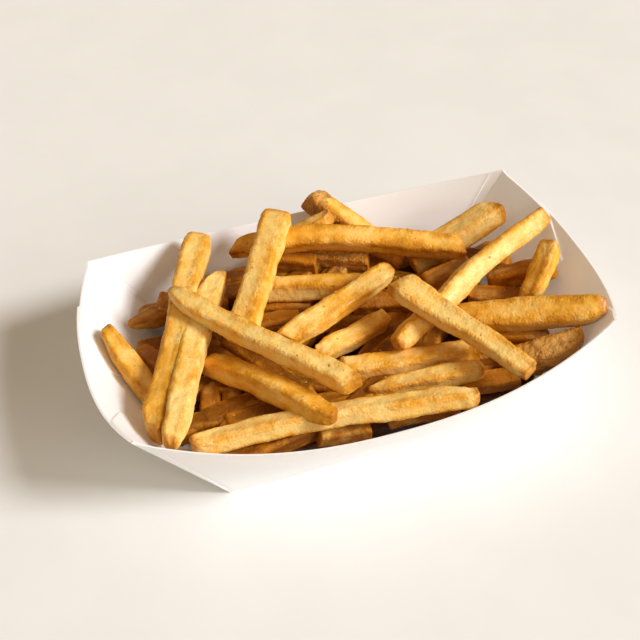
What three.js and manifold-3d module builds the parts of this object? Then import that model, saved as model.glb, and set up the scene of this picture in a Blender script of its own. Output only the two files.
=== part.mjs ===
// French fries in a folded paper tray: a heap of fries in a boat-shaped carton.
// Millimetres, +Z up, the tray's base centred on the origin, its length along X.
import * as THREE from 'three';
import { mergeVertices } from 'three/addons/utils/BufferGeometryUtils.js';
import Module from 'manifold-3d';

// ---------------------------------------------------------------- tray sizes
const BASE_LENGTH = 104;
const BASE_WIDTH = 80;
const PEAK_X = 79; // the four raised corner tips of the rim
const PEAK_Y = 43.5;
const PEAK_HEIGHT = 39;
const SIDE_BULGE = 14; // how far a long wall bows out at its middle
const SIDE_DIP = 10; // how far its rim dips there
const SIDE_ROUNDNESS = 2.3;
const END_BULGE = 9;
const END_DIP = 5;
const END_ROUNDNESS = 2.4;
const BOARD = 0.6; // thickness of the paper board
const CREASE = 0.95; // where a long wall folds round the corner, as a share of its half length
// Cut edges at an end, as shares of its half width: the front one first, then the back one.
const PANEL_RIM = [0.97, 0.58]; // where the end panel's edges meet the rim
const FLAP_RIM = [[0.69, 0.43], [0.86, 0.43]]; // where the glued flaps leave it, left end and right end
const FLAP_FOOT = [0.5, -0.03]; // where the flaps' cut edges run down the wall
const FLAP_SHOULDER = 0.86; // height of the bend in those cut edges, as a share of the wall
const STEP = 0.008; // width of the small step at a cut edge, as a share of the end
const WALL_LEVELS = [0, 0.3, 0.6, FLAP_SHOULDER, 1];
const SIDE_SPANS = 20;
const CORNER_SPANS = 5; // from a corner peak to the cut edge beside it
const PANEL_SPANS = 8; // from one cut edge to the other

// ---------------------------------------------------------------- heap sizes
const CLEARANCE = 0.4; // gap between the food and the board
const CORE_LIFT = 0.5; // gap between the board and the underside of the core
const CORE_FOOT = [49, 37, BOARD + CORE_LIFT]; // half length, half width and height of each core ring
const CORE_SHOULDER = [62, 43, 13];
const CORE_SHELF = [48, 32, 18];
const CORE_TOP = 20;
const CORE_SQUARENESS = 6;
const CORE_POINTS = 36;
const CORNER_CUT = 0.15; // chamfer of a fry's long edges, as a share of its side
const FRY_STATIONS = [0, 0.05, 0.35, 0.65, 0.95, 1];
const BLUNT = [0.82, 1]; // scale of the section at a blunt end, and at the station beside it
const POINTED = [0.4, 0.78];
const WIDE_SHARE = 0.4; // a fry that starts wide has tapered to its side here

// ------------------------------------------------------ fries under the show
const HIDDEN_COUNT = 40;
const HIDDEN_SEED = 7;
const HIDDEN_SIDE = 6.8;
const HIDDEN_LENGTH = [44, 72];
const HIDDEN_SPREAD = [60, 40]; // half length and half width of the area of their middles
const HIDDEN_REACH = [70, 47, 18]; // half length, half width and height that their ends keep within
const REACH_SQUARENESS = 4;
const HIDDEN_SWING = 70; // largest turn from the tray's length, in degrees; near a long wall less
const HIDDEN_RISE = 1.6;
const HIDDEN_SHORTEST = 24;

// The fries that show, lowest first. from and to are the ends of the centre line, side the width of
// the square section, turn its roll in degrees, bow a bend sideways, arch a lift of the middle, wide
// a scale of the section at the start, and point the end that comes to a point.
const FRIES = [
  { from: [-69, 11, 22], to: [-58.5, -9, 20.5], side: 6.6 },
  { from: [-70, 23.5, 24], to: [-48, 24, 23.5], side: 6.6 },
  { from: [-29.5, 11, 20], to: [-12, 11, 20], side: 6.6 },
  { from: [-29, 20, 20.5], to: [-6.5, 15, 20.5], side: 6.6 },
  { from: [10.5, 31, 20], to: [3, 21, 19], side: 6.6 },
  { from: [-24.5, 22, 27], to: [16.5, 7.5, 28], side: 7, turn: -10 },
  { from: [7, 7, 23.5], to: [27, 0.5, 25], side: 6.6, turn: 20 },
  { from: [13.5, -5, 19], to: [28.5, 5, 19], side: 7, turn: 20 },
  { from: [-2.5, 38.5, 23.5], to: [19.5, 26.5, 24], side: 6.6, turn: 10 },
  { from: [-15, 40.5, 23.5], to: [1, 31.5, 23], side: 6.6, turn: 10 },
  { from: [33, 7.5, 24.5], to: [53, 13, 25], side: 7, turn: 20 },
  { from: [43.5, -20.5, 22], to: [63.5, -30, 22], side: 6.6, turn: 10 },
  { from: [52.5, -38.5, 21.5], to: [64, -38, 22], side: 6.4, turn: 10 },
  { from: [28, -37, 18.5], to: [48, -40.5, 20], side: 6.6, turn: 10 },
  { from: [0.5, -42, 18.5], to: [23.5, -47, 22], side: 6.4 },
  { from: [-41, -7, 17.5], to: [-46.5, -28.5, 16.5], side: 7 },
  { from: [-48.5, -4.5, 17.5], to: [-53.5, -27.5, 16.5], side: 6.6 },
  { from: [-38, -24.5, 18], to: [-20, -31, 18], side: 6.6, turn: 10 },
  { from: [-22, -41, 17.5], to: [-5.5, -44, 17.5], side: 6.6, turn: 10 },
  { from: [47.5, 1, 21.5], to: [67.5, -10, 22], side: 6.6, turn: 10 },
  { from: [56.5, 4, 23.5], to: [78, -5, 29.5], side: 6.6 },
  { from: [6, 54, 36], to: [33, 27, 20], side: 8.4 },
  { from: [9.5, 40, 38], to: [-11, 43.5, 25], side: 6.8 },
  { from: [70, 28, 33], to: [33.5, 22.5, 23], side: 8.8, turn: 5 },
  { from: [-78, 15.5, 32], to: [-65.5, -21.5, 20.5], side: 7.3 },
  { from: [-58.5, 25, 30], to: [-45.5, 20, 26], side: 6.4 },
  { from: [-38, 48, 34], to: [-72, -35.5, 31.5], side: 7.6, turn: 3, wide: 1.2 },
  { from: [-27, 42, 31.5], to: [50.5, 13.5, 31], side: 7.8, turn: 25, bow: 3, arch: 2.5 },
  { from: [-37.2, 29, 31.5], to: [-67.6, -43.5, 33], side: 8.3, turn: -5, bow: -1, point: 'to' },
  { from: [77.5, 0, 37], to: [62.5, -14, 28], side: 6.8, turn: 20 },
  { from: [34, -10, 23], to: [62, -24, 25.5], side: 6.6, turn: 20 },
  { from: [37, -14, 27], to: [80, -35, 36.5], side: 8.8, turn: 25 },
  { from: [48, -36.5, 24.5], to: [71, -39, 28.5], side: 9 },
  { from: [-13.5, -13, 24], to: [14.5, -3.5, 24.5], side: 6.6, turn: 15 },
  { from: [-7.5, -20.5, 22.5], to: [37.5, -28.5, 24], side: 6.8 },
  { from: [-2, -32, 22], to: [36.5, -37, 24], side: 6.6 },
  { from: [-61.5, -38, 24.5], to: [28.5, -50, 28], side: 6.7, turn: -15, bow: 3 },
  { from: [81, 14, 38], to: [11.5, -22.5, 29.5], side: 7.7, turn: -37, bow: -1.5, arch: 1 },
  { from: [-48.5, -6, 25.5], to: [-19, -47.5, 31.5], side: 7.3, turn: -12, bow: 2 },
  { from: [-9.5, 44, 40.5], to: [-38, -4, 31], side: 8.4, turn: 7, wide: 1.2 },
  { from: [20.5, 8.5, 34.5], to: [-24, -8, 29.5], side: 7.4, turn: -15 },
  { from: [18, -6.5, 41.5], to: [45.5, -51, 33], side: 6.9, turn: 18, wide: 1.5 },
  { from: [-55, 18.5, 39.5], to: [-9, -41, 37.5], side: 7.3, turn: 12, bow: -2, point: 'from' },
];

const PAPER = { color: 0xf6f3ee, roughness: 0.75, metalness: 0 };
const FRIED = { color: 0xe0a03c, roughness: 0.6, metalness: 0 };
const UP = new THREE.Vector3(0, 0, 1);
const MERGE_WITHIN = 1e-4; // points closer than this become one
const TANGENT_REACH = 0.01; // share of a centre line on each side that gives its direction

const wasm = await Module();
wasm.setup();

function mix(a, b, share) {
  return a + (b - a) * share;
}

// ------------------------------------------------------------- mesh building

/** A merged geometry, without the triangles that merging has flattened. */
function mergedGeometry(positions, triangles) {
  const raw = new THREE.BufferGeometry();
  raw.setAttribute('position', new THREE.Float32BufferAttribute(positions, 3));
  raw.setIndex(triangles);
  const merged = mergeVertices(raw, MERGE_WITHIN);
  const index = merged.index.array;
  const kept = [];
  for (let i = 0; i < index.length; i += 3) {
    const [a, b, c] = [index[i], index[i + 1], index[i + 2]];
    if (a !== b && b !== c && c !== a) kept.push(a, b, c);
  }
  merged.setIndex(kept);
  return merged;
}

/** A closed body from loops of points, each joined to the next, between two end points. */
function bodyFromLoops(firstPoint, loops, lastPoint) {
  const count = loops[0].length;
  const last = 1 + loops.length * count;
  const at = (loop, i) => 1 + loop * count + (i % count);
  const triangles = [];
  for (let i = 0; i < count; i += 1) {
    triangles.push(0, at(0, i + 1), at(0, i));
    for (let loop = 0; loop + 1 < loops.length; loop += 1) {
      triangles.push(at(loop, i), at(loop, i + 1), at(loop + 1, i + 1));
      triangles.push(at(loop, i), at(loop + 1, i + 1), at(loop + 1, i));
    }
    triangles.push(last, at(loops.length - 1, i), at(loops.length - 1, i + 1));
  }
  return mergedGeometry([firstPoint, ...loops.flat(), lastPoint].flat(), triangles);
}

function toManifold(geometry) {
  return new wasm.Manifold(new wasm.Mesh({
    numProp: 3,
    vertProperties: new Float32Array(geometry.attributes.position.array),
    triVerts: new Uint32Array(geometry.index.array),
  }));
}

function fromManifold(solid) {
  const mesh = solid.getMesh();
  return mergedGeometry(Array.from(mesh.vertProperties), Array.from(mesh.triVerts));
}

// ---------------------------------------------------------------------- tray

/** How much a board's thickness grows when it is measured level, on a wall that leans out. */
function leanFactor(run, rise) {
  return Math.hypot(run, rise) / rise;
}

const SIDE_LEAN = leanFactor(PEAK_Y + SIDE_BULGE - BASE_WIDTH / 2, PEAK_HEIGHT - SIDE_DIP);
const END_LEAN = leanFactor(PEAK_X + END_BULGE - BASE_LENGTH / 2, PEAK_HEIGHT - END_DIP);

/** Rim point of the long wall at y of the given sign, at share t of its half length. */
function sideRim(t, sign) {
  const swell = 1 - Math.abs(t) ** SIDE_ROUNDNESS;
  return [PEAK_X * t, sign * (PEAK_Y + SIDE_BULGE * swell), PEAK_HEIGHT - SIDE_DIP * swell];
}

/** Rim point of the end wall at x of the given sign, at share t of its half width. */
function endRim(t, sign) {
  const swell = 1 - Math.abs(t) ** END_ROUNDNESS;
  return [sign * (PEAK_X + END_BULGE * swell), PEAK_Y * t, PEAK_HEIGHT - END_DIP * swell];
}

/** Front and back edge of the end panel at height v: it narrows to the rim and bares the flaps. */
function panelEdges(v) {
  return PANEL_RIM.map((rim) => mix(1 - 2 * STEP, rim, v));
}

/** Cut edges of the front and back flap at height v on the inside of the end at x of the given sign. */
function flapEdges(sign, v) {
  const rise = Math.max(0, (v - FLAP_SHOULDER) / (1 - FLAP_SHOULDER));
  return FLAP_RIM[sign > 0 ? 1 : 0].map((rim, i) => mix(FLAP_FOOT[i], rim, rise));
}

/** A point of a wall at height v, moved level inward by a depth in millimetres of board. */
function wallPoint(base, rim, v, outward, depth) {
  return [
    mix(base[0], rim[0], v) - outward[0] * depth * END_LEAN,
    mix(base[1], rim[1], v) - outward[1] * depth * SIDE_LEAN,
    rim[2] * v,
  ];
}

/** The long wall's stretch of a loop, which folds round both corners at its creases. */
function sideStretch(sign, v, isInner, grow) {
  const points = [];
  for (let i = 0; i <= SIDE_SPANS; i += 1) {
    const run = sign * mix(1, -1, i / SIDE_SPANS);
    const base = [run * BASE_LENGTH / 2, sign * BASE_WIDTH / 2];
    const rim = sideRim(run * CREASE, sign);
    const height = isInner ? Math.max(v, (BOARD + grow) / rim[2]) : v;
    const outward = [Math.abs(run) === 1 ? run * (1 - v) : 0, sign];
    points.push(wallPoint(base, rim, height, outward, isInner ? BOARD + grow : -grow));
  }
  return points;
}

/** Shares along an end, from its front peak to its back one, with a narrow step at each cut edge. */
function endShares(front, back) {
  const stretch = (from, to, spans) => (
    Array.from({ length: spans + 1 }, (_, i) => mix(from, to, i / spans))
  );
  return [
    ...stretch(-1, -front - STEP, CORNER_SPANS),
    ...stretch(-front, back, PANEL_SPANS),
    ...stretch(back + STEP, 1, CORNER_SPANS),
  ];
}

/** The end wall's stretch of a loop: one board in the middle, two where a flap is glued inside. */
function endStretch(sign, v, isInner, grow) {
  const [front, back] = isInner ? flapEdges(sign, v) : panelEdges(v);
  const shares = sign > 0 ? endShares(front, back) : endShares(front, back).reverse();
  return shares.map((t) => {
    const isPeak = Math.abs(t) === 1;
    const besideEdge = (t < -front - STEP / 2 || t > back + STEP / 2) && !isPeak && v > 0;
    const rim = endRim(t, sign);
    const base = [sign * BASE_LENGTH / 2, t * BASE_WIDTH / 2];
    const height = isInner ? Math.max(v, (BOARD + grow) / rim[2]) : v;
    const outward = [sign, isPeak ? t : 0];
    const depth = (isInner ? BOARD + grow : -grow) + (besideEdge ? BOARD : 0);
    return wallPoint(base, rim, height, outward, depth);
  });
}

function trayLoop(v, isInner, grow) {
  return [
    ...sideStretch(1, v, isInner, grow),
    ...endStretch(-1, v, isInner, grow),
    ...sideStretch(-1, v, isInner, grow),
    ...endStretch(1, v, isInner, grow),
  ];
}

/** The folded tray, or the space it needs when grow widens it on every face but its underside. */
function trayBody(grow) {
  const outside = WALL_LEVELS.map((v) => trayLoop(v, false, grow));
  const inside = [...WALL_LEVELS].reverse().map((v) => trayLoop(v, true, grow));
  return bodyFromLoops([0, 0, 0], [...outside, ...inside], [0, 0, BOARD + grow]);
}

// --------------------------------------------------------------------- fries

/** Point on a fry's centre line at share u, with its sideways bow and its arch. */
function centrePoint(fry, u) {
  const from = new THREE.Vector3(...fry.from);
  const to = new THREE.Vector3(...fry.to);
  const along = to.clone().sub(from);
  const sideways = new THREE.Vector3().crossVectors(UP, along).normalize();
  const swell = 4 * u * (1 - u);
  const point = from.addScaledVector(along, u).addScaledVector(sideways, (fry.bow ?? 0) * swell);
  return point.addScaledVector(UP, (fry.arch ?? 0) * swell);
}

/** Scale of a fry's section at one of its stations. */
function sectionScale(fry, station) {
  const u = FRY_STATIONS[station];
  const fromEnd = Math.min(station, FRY_STATIONS.length - 1 - station);
  const end = u < 0.5 ? 'from' : 'to';
  const tip = fry.point === end ? POINTED : BLUNT;
  const widening = ((fry.wide ?? 1) - 1) * Math.max(0, 1 - u / WIDE_SHARE);
  return (tip[fromEnd] ?? 1) * (1 + widening);
}

/** The corners of a square section in turn round the fry: eight, or four when it stays plain. */
function sectionCorners(half, isPlain) {
  if (isPlain) return [[half, -half], [half, half], [-half, half], [-half, -half]];
  const cut = half * (1 - 2 * CORNER_CUT);
  return [
    [half, -cut], [half, cut], [cut, half], [-cut, half],
    [-half, cut], [-half, -cut], [-cut, -half], [cut, -half],
  ];
}

function fryBody(fry) {
  const roll = THREE.MathUtils.degToRad(fry.turn ?? 0);
  const stations = fry.isPlain ? [0, 1] : FRY_STATIONS;
  const loops = stations.map((u, station) => {
    const centre = centrePoint(fry, u);
    const ahead = centrePoint(fry, u + TANGENT_REACH);
    const along = ahead.sub(centrePoint(fry, u - TANGENT_REACH)).normalize();
    const across = new THREE.Vector3().crossVectors(UP, along).normalize().applyAxisAngle(along, roll);
    const upward = new THREE.Vector3().crossVectors(along, across);
    const half = fry.side / 2 * (fry.isPlain ? 1 : sectionScale(fry, station));
    return sectionCorners(half, fry.isPlain).map(([a, b]) => (
      centre.clone().addScaledVector(across, a).addScaledVector(upward, b).toArray()
    ));
  });
  return bodyFromLoops(fry.from, loops, fry.to);
}

/** A repeatable stream of numbers from 0 to 1: a linear congruential generator. */
function* seededNumbers(seed) {
  const [multiplier, increment] = [1664525, 1013904223];
  let state = seed;
  while (true) {
    state = (Math.imul(state, multiplier) + increment) >>> 0;
    yield state / 2 ** 32;
  }
}

/** Fries of the lower layer, strewn over the core row by row and shortened to clear the walls. */
function hiddenFries() {
  const numbers = seededNumbers(HIDDEN_SEED);
  const between = (low, high) => mix(low, high, numbers.next().value);
  const [spreadX, spreadY] = HIDDEN_SPREAD;
  const [reachX, reachY, height] = HIDDEN_REACH;
  const fries = [];
  for (let i = 0; i < HIDDEN_COUNT; i += 1) {
    const row = mix(-spreadY, spreadY, (i + 0.5) / HIDDEN_COUNT);
    const middle = [between(-spreadX, spreadX), row];
    const swing = HIDDEN_SWING * (1 - Math.abs(row) / reachY);
    const heading = THREE.MathUtils.degToRad(between(-swing, swing));
    const rise = between(-HIDDEN_RISE, HIDDEN_RISE);
    let length = between(...HIDDEN_LENGTH);
    const end = (way) => [
      middle[0] + way * Math.cos(heading) * length / 2,
      middle[1] + way * Math.sin(heading) * length / 2,
      height + way * rise,
    ];
    const reaches = ([x, y]) => (
      Math.abs(x / reachX) ** REACH_SQUARENESS + Math.abs(y / reachY) ** REACH_SQUARENESS
    );
    while (Math.max(reaches(end(1)), reaches(end(-1))) > 1) length -= 1;
    if (length > HIDDEN_SHORTEST) {
      fries.push({ from: end(-1), to: end(1), side: HIDDEN_SIDE, isPlain: true });
    }
  }
  return fries;
}

/** The mound that fills the tray under the fries. */
function coreBody() {
  const power = 2 / CORE_SQUARENESS;
  const loop = ([halfLength, halfWidth, height]) => Array.from({ length: CORE_POINTS }, (_, i) => {
    const [c, s] = [Math.cos(2 * Math.PI * i / CORE_POINTS), Math.sin(2 * Math.PI * i / CORE_POINTS)];
    return [
      halfLength * Math.sign(c) * Math.abs(c) ** power,
      halfWidth * Math.sign(s) * Math.abs(s) ** power,
      height,
    ];
  });
  const loops = [CORE_FOOT, CORE_SHOULDER, CORE_SHELF].map(loop);
  return bodyFromLoops([0, 0, CORE_FOOT[2]], loops, [0, 0, CORE_TOP]);
}

/** Core and fries as one body, kept clear of the tray, without sealed hollows or loose scraps. */
function heapBody() {
  let heap = toManifold(coreBody());
  for (const fry of [...hiddenFries(), ...FRIES]) heap = heap.add(toManifold(fryBody(fry)));
  const pieces = heap.subtract(toManifold(trayBody(CLEARANCE))).decompose();
  pieces.sort((a, b) => b.volume() - a.volume());
  return fromManifold(pieces[0]);
}

// --------------------------------------------------------------------- scene

function namedMesh(name, geometry, look) {
  const mesh = new THREE.Mesh(geometry, new THREE.MeshStandardMaterial(look));
  mesh.name = name;
  return mesh;
}

const group = new THREE.Group();
group.add(namedMesh('tray', trayBody(0), PAPER));
group.add(namedMesh('fries', heapBody(), FRIED));

export default group;
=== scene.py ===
"""French fries heaped in a folded paper tray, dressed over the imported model.

Sizes are in millimetres where a name or a docstring says so, and become metres in the meshes.
"""

from __future__ import annotations

import logging
import math
import random
from collections.abc import Callable, Iterator, Sequence
from dataclasses import dataclass, field
from enum import Enum

import bmesh
import bpy
from mathutils import Matrix, Vector

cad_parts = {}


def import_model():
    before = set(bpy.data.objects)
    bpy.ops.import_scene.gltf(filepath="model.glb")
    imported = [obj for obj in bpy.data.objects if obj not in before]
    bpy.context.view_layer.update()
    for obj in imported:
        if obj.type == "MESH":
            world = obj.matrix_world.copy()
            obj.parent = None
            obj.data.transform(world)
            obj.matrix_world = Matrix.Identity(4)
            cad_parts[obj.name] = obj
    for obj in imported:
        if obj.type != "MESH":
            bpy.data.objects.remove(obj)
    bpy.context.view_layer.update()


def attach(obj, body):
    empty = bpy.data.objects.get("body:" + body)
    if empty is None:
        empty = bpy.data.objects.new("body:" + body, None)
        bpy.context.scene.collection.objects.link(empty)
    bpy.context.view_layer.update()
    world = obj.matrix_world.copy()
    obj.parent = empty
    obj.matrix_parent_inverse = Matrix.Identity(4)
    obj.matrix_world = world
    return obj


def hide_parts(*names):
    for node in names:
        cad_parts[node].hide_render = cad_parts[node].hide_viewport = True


LOG = logging.getLogger("fries_in_tray")
MM = 0.001
UP = Vector((0.0, 0.0, 1.0))
ORIGIN = (0.0, 0.0, 0.0)
SMALLEST_TURN = 1e-6
LUMP_DEPTH = 2
# Most of a noise lies between these two values.
MIDDLE = (0.3, 0.7)
Point = tuple[float, float, float]
Colour = tuple[float, float, float]


def mix(low: float, high: float, share: float) -> float:
    """Return the value at a share of the way from low to high."""
    return low + (high - low) * share


# ------------------------------------------------------------------ modelling by hand


class Bench:
    """Edit-mode work on one piece: choosing its points by place and shaping what is chosen."""

    def __init__(self, piece: bpy.types.Object) -> None:
        """Take a piece to work on.

        Args:
            piece: a mesh object that is the active object.
        """
        self.piece = piece

    @classmethod
    def cube(cls, name: str, size: Point) -> Bench:
        """Start a piece from a cube of a size in metres, left in edit mode.

        Args:
            name: the new object's name.
            size: its length, width and height.

        Returns:
            The bench that holds it.
        """
        bpy.ops.object.select_all(action="DESELECT")
        bpy.ops.mesh.primitive_cube_add(size=1.0)
        bench = cls(bpy.context.object)
        bench.piece.name = name
        bpy.ops.object.mode_set(mode="EDIT")
        bench.choose_all()
        bpy.ops.transform.resize(value=size)
        return bench

    @staticmethod
    def choose_all() -> None:
        """Select all of the piece."""
        bpy.ops.mesh.select_all(action="SELECT")

    def choose(self, where: Callable[[Vector], bool]) -> None:
        """Select the points whose place passes a test, and no others.

        Args:
            where: the test, given a point's place in metres.
        """
        mesh = bmesh.from_edit_mesh(self.piece.data)
        bpy.ops.mesh.select_mode(type="VERT")
        for vertex in mesh.verts:
            vertex.select_set(where(vertex.co))
        mesh.select_flush_mode()
        bmesh.update_edit_mesh(self.piece.data)

    def choose_ring(self, index: int) -> None:
        """Select the points that carry a ring's number in the blank they came from."""
        mesh = bmesh.from_edit_mesh(self.piece.data)
        ring = mesh.verts.layers.int["ring"]
        for vertex in mesh.verts:
            vertex.select_set(vertex[ring] == index)
        mesh.select_flush_mode()
        bmesh.update_edit_mesh(self.piece.data)

    def choose_edges(self, where: Callable[[Vector, Vector], bool]) -> None:
        """Select the edges whose two ends pass a test together.

        Args:
            where: the test, given the places of both ends in metres.
        """
        mesh = bmesh.from_edit_mesh(self.piece.data)
        bpy.ops.mesh.select_mode(type="EDGE")
        for edge in mesh.edges:
            edge.select_set(False)
        for edge in mesh.edges:
            if where(edge.verts[0].co, edge.verts[1].co):
                edge.select_set(True)
        bmesh.update_edit_mesh(self.piece.data)

    def cut(self, place: Point, normal: Point) -> None:
        """Cut a loop of edges into the whole piece where a plane crosses it.

        Args:
            place: a point of the plane.
            normal: the plane's normal.
        """
        self.choose_all()
        bpy.ops.mesh.bisect(plane_co=place, plane_no=normal)

    @staticmethod
    def turn(angle: float, axis: str, centre: Point) -> None:
        """Turn what is chosen by the right-hand rule about an axis through a centre.

        Args:
            angle: the turn in radians.
            axis: X, Y or Z.
            centre: a point of the axis.
        """
        if abs(angle) > SMALLEST_TURN:
            bpy.ops.transform.rotate(value=-angle, orient_axis=axis, center_override=centre)

    def leave(self) -> bpy.types.Object:
        """Go back to object mode and return the piece."""
        bpy.ops.object.mode_set(mode="OBJECT")
        return self.piece


def make_active(piece: bpy.types.Object) -> None:
    """Select one piece alone and make it the active one."""
    bpy.ops.object.select_all(action="DESELECT")
    piece.select_set(True)
    bpy.context.view_layer.objects.active = piece


def apply_modifier(piece: bpy.types.Object, kind: str, **settings: object) -> None:
    """Put a modifier on a piece and apply it.

    Args:
        piece: the mesh object.
        kind: the modifier's type.
        settings: its settings by name.
    """
    make_active(piece)
    modifier = piece.modifiers.new(kind.lower(), kind)
    for name, value in settings.items():
        setattr(modifier, name, value)
    bpy.ops.object.modifier_apply(modifier=modifier.name)


def joined(pieces: Sequence[bpy.types.Object], name: str) -> bpy.types.Object:
    """Join pieces into one object with a new name and return it."""
    make_active(pieces[0])
    for piece in pieces:
        piece.select_set(True)
    bpy.ops.object.join()
    whole = bpy.context.object
    whole.name = name
    whole.data.name = name
    return whole


def settle(piece: bpy.types.Object, matrix: Matrix) -> None:
    """Move a piece by a matrix and apply its place, so that the object stays at the origin."""
    make_active(piece)
    piece.matrix_world = matrix
    bpy.ops.object.transform_apply(location=True, rotation=True, scale=True)


def roughen(piece: bpy.types.Object, name: str, size: float, height: float) -> None:
    """Displace a piece by soft procedural lumps that are fixed in the part's own frame.

    Args:
        piece: the mesh object.
        name: the texture's name.
        size: how large the lumps are, in millimetres.
        height: the height from the lowest to the highest of them, in millimetres.
    """
    texture = bpy.data.textures.new(name, "CLOUDS")
    texture.noise_scale = size * MM
    texture.noise_depth = LUMP_DEPTH
    apply_modifier(
        piece,
        "DISPLACE",
        texture=texture,
        texture_coords="GLOBAL",
        strength=height * MM,
        mid_level=0.5,
    )


def add_masks(mesh: bpy.types.Mesh, **kinds: str) -> None:
    """Add an attribute to a mesh's points for each name, with the kind that is given for it."""
    for name, kind in kinds.items():
        mesh.attributes.new(name, kind, "POINT")


# -------------------------------------------------------------------------- materials


class Graph:
    """A node tree that is written one node at a time, each call giving back a socket."""

    def __init__(self, tree: bpy.types.NodeTree) -> None:
        """Take a material's or a group's node tree."""
        self.tree = tree

    def node(self, kind: str, **settings: object) -> bpy.types.Node:
        """Add a node.

        Args:
            kind: the node's type.
            settings: its own settings by name.

        Returns:
            The node.
        """
        node = self.tree.nodes.new(kind)
        for name, value in settings.items():
            setattr(node, name, value)
        return node

    def feed(self, socket: bpy.types.NodeSocket, value: object) -> None:
        """Link an output to a socket, or set the socket's own value.

        Args:
            socket: the input.
            value: an output socket, a number, a colour or a vector.
        """
        if isinstance(value, bpy.types.NodeSocket):
            self.tree.links.new(value, socket)
        elif socket.type == "RGBA":
            socket.default_value = (*value, 1.0)
        else:
            socket.default_value = value

    def feed_all(self, node: bpy.types.Node, values: dict[str, object]) -> None:
        """Feed several inputs of a node, each given by its name."""
        for name, value in values.items():
            self.feed(node.inputs[name], value)

    def noise(self, place: object, scale: float, detail: float) -> bpy.types.NodeSocket:
        """Add soft noise from 0 to 1 with features of 1/scale metres."""
        node = self.node("ShaderNodeTexNoise")
        self.feed_all(node, {"Vector": place, "Scale": scale, "Detail": detail})
        return node.outputs["Fac"]

    def cells(self, place: object, scale: float) -> bpy.types.NodeSocket:
        """Add the distance to the nearest of scattered points, 1/scale metres apart."""
        node = self.node("ShaderNodeTexVoronoi", feature="SMOOTH_F1")
        self.feed_all(node, {"Vector": place, "Scale": scale})
        return node.outputs["Distance"]

    def remap(
        self, value: object, low: float, high: float, to_low: object = 0.0, to_high: object = 1.0
    ) -> bpy.types.NodeSocket:
        """Carry a value from one range smoothly to another, held at its ends."""
        node = self.node("ShaderNodeMapRange", interpolation_type="SMOOTHSTEP")
        for name, setting in zip(
            ("Value", "From Min", "From Max", "To Min", "To Max"), (value, low, high, to_low, to_high)
        ):
            self.feed(node.inputs[name], setting)
        return node.outputs["Result"]

    def sum(self, first: object, second: object, how: str = "ADD") -> bpy.types.NodeSocket:
        """Combine two values with a Math node."""
        node = self.node("ShaderNodeMath", operation=how)
        self.feed(node.inputs[0], first)
        self.feed(node.inputs[1], second)
        return node.outputs[0]

    def blend(self, share: object, first: object, second: object) -> bpy.types.NodeSocket:
        """Mix two colours by a share."""
        node = self.node("ShaderNodeMix", data_type="RGBA")
        colours = [socket for socket in node.inputs if socket.type == "RGBA"]
        self.feed(node.inputs["Factor"], share)
        self.feed(colours[0], first)
        self.feed(colours[1], second)
        return next(socket for socket in node.outputs if socket.type == "RGBA")

    def stretch(self, place: object, scale: Point) -> bpy.types.NodeSocket:
        """Scale a place along its axes, so that a pattern is drawn out."""
        node = self.node("ShaderNodeVectorMath", operation="MULTIPLY")
        self.feed(node.inputs[0], place)
        self.feed(node.inputs[1], scale)
        return node.outputs[0]


class Socket(Enum):
    """The kinds of socket that a shader group has."""

    FLOAT = "NodeSocketFloat"
    COLOUR = "NodeSocketColor"
    VECTOR = "NodeSocketVector"


def new_group(
    name: str, inputs: Sequence[tuple[str, Socket]], outputs: Sequence[tuple[str, Socket]]
) -> tuple[Graph, bpy.types.Node, bpy.types.Node]:
    """Make an empty shader group.

    Args:
        name: the group's name.
        inputs: name and kind of each input.
        outputs: name and kind of each output.

    Returns:
        Its graph, its input node and its output node.
    """
    tree = bpy.data.node_groups.new(name, "ShaderNodeTree")
    for label, kind in inputs:
        tree.interface.new_socket(label, in_out="INPUT", socket_type=kind.value)
    for label, kind in outputs:
        tree.interface.new_socket(label, in_out="OUTPUT", socket_type=kind.value)
    graph = Graph(tree)
    return graph, graph.node("NodeGroupInput"), graph.node("NodeGroupOutput")


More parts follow.
